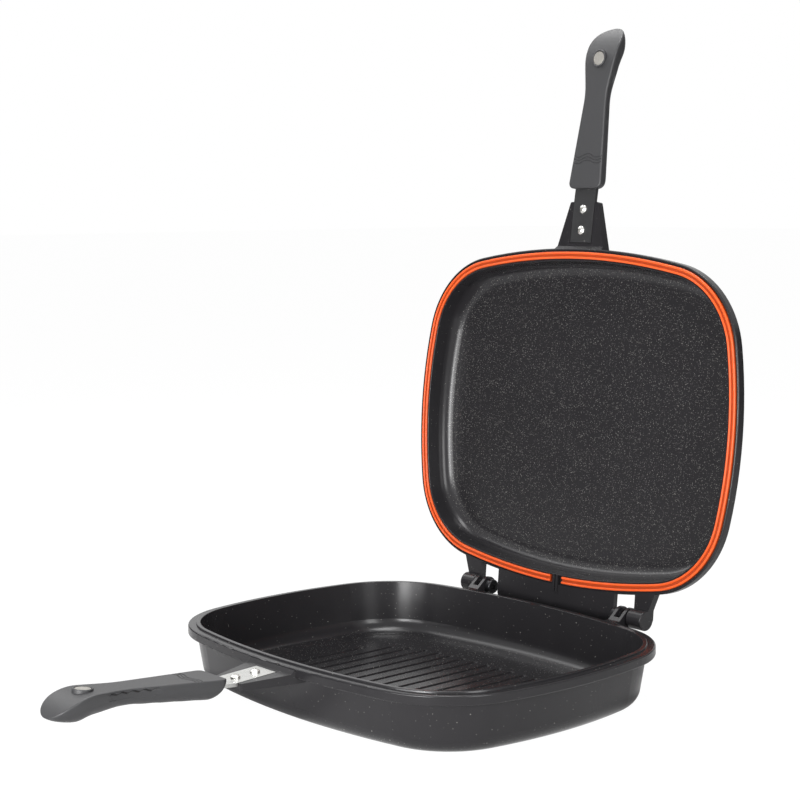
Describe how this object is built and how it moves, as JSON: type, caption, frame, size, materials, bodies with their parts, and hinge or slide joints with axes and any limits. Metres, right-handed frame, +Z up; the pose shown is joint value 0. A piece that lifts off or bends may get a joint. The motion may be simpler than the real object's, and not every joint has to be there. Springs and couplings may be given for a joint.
{
  "type": "double sided flip pan",
  "caption": "Rectangular double sided frying pan: two hinged cast pans with rounded corners, a sealing gasket, a grill floor and long grips held together by magnets.",
  "frame": {"origin": "middle of the lower pan's flat base, on the surface that it stands on", "axes": "+X along the hinge axis, +Y from the grips to the hinge, +Z up"},
  "size_m": [0.4074, 0.636, 0.5943],
  "materials": {
    "coated_casting": "cast aluminium under a speckled dark non-stick coating",
    "silicone": "satin orange silicone",
    "zinc_steel": "bright zinc plated strip steel",
    "coated_steel": "strip steel under dark coating",
    "bright_screw": "bright plated steel",
    "phenolic": "matte dark moulded phenolic",
    "magnet_nickel": "nickel plated magnet",
    "black_steel": "blackened steel"
  },
  "bodies": {
    "lower": {"lower_pan": "coated_casting", "lower_tongue": "zinc_steel", "lower_tongue_screws": "bright_screw", "lower_grip": "phenolic", "lower_grip_screw": "bright_screw", "lower_magnet": "magnet_nickel"},
    "upper": {"upper_pan": "coated_casting", "gasket": "silicone", "upper_tongue": "coated_steel", "upper_tongue_screws": "bright_screw", "upper_grip": "phenolic", "upper_grip_screw": "bright_screw", "upper_magnet": "magnet_nickel", "hinge_bolt_right": "black_steel", "hinge_bolt_left": "black_steel", "thrust_washer_right": "black_steel", "thrust_washer_left": "black_steel", "spring_washer_right": "black_steel", "spring_washer_left": "black_steel", "lock_nut_right": "black_steel", "lock_nut_left": "black_steel"}
  },
  "joints": [
    {"name": "lid_hinge", "type": "hinge", "parent": "lower", "child": "upper", "pos_m": [0, 0.1743, 0.0537], "axis": [1, 0, 0], "range_deg": [0, 95]}
  ]
}
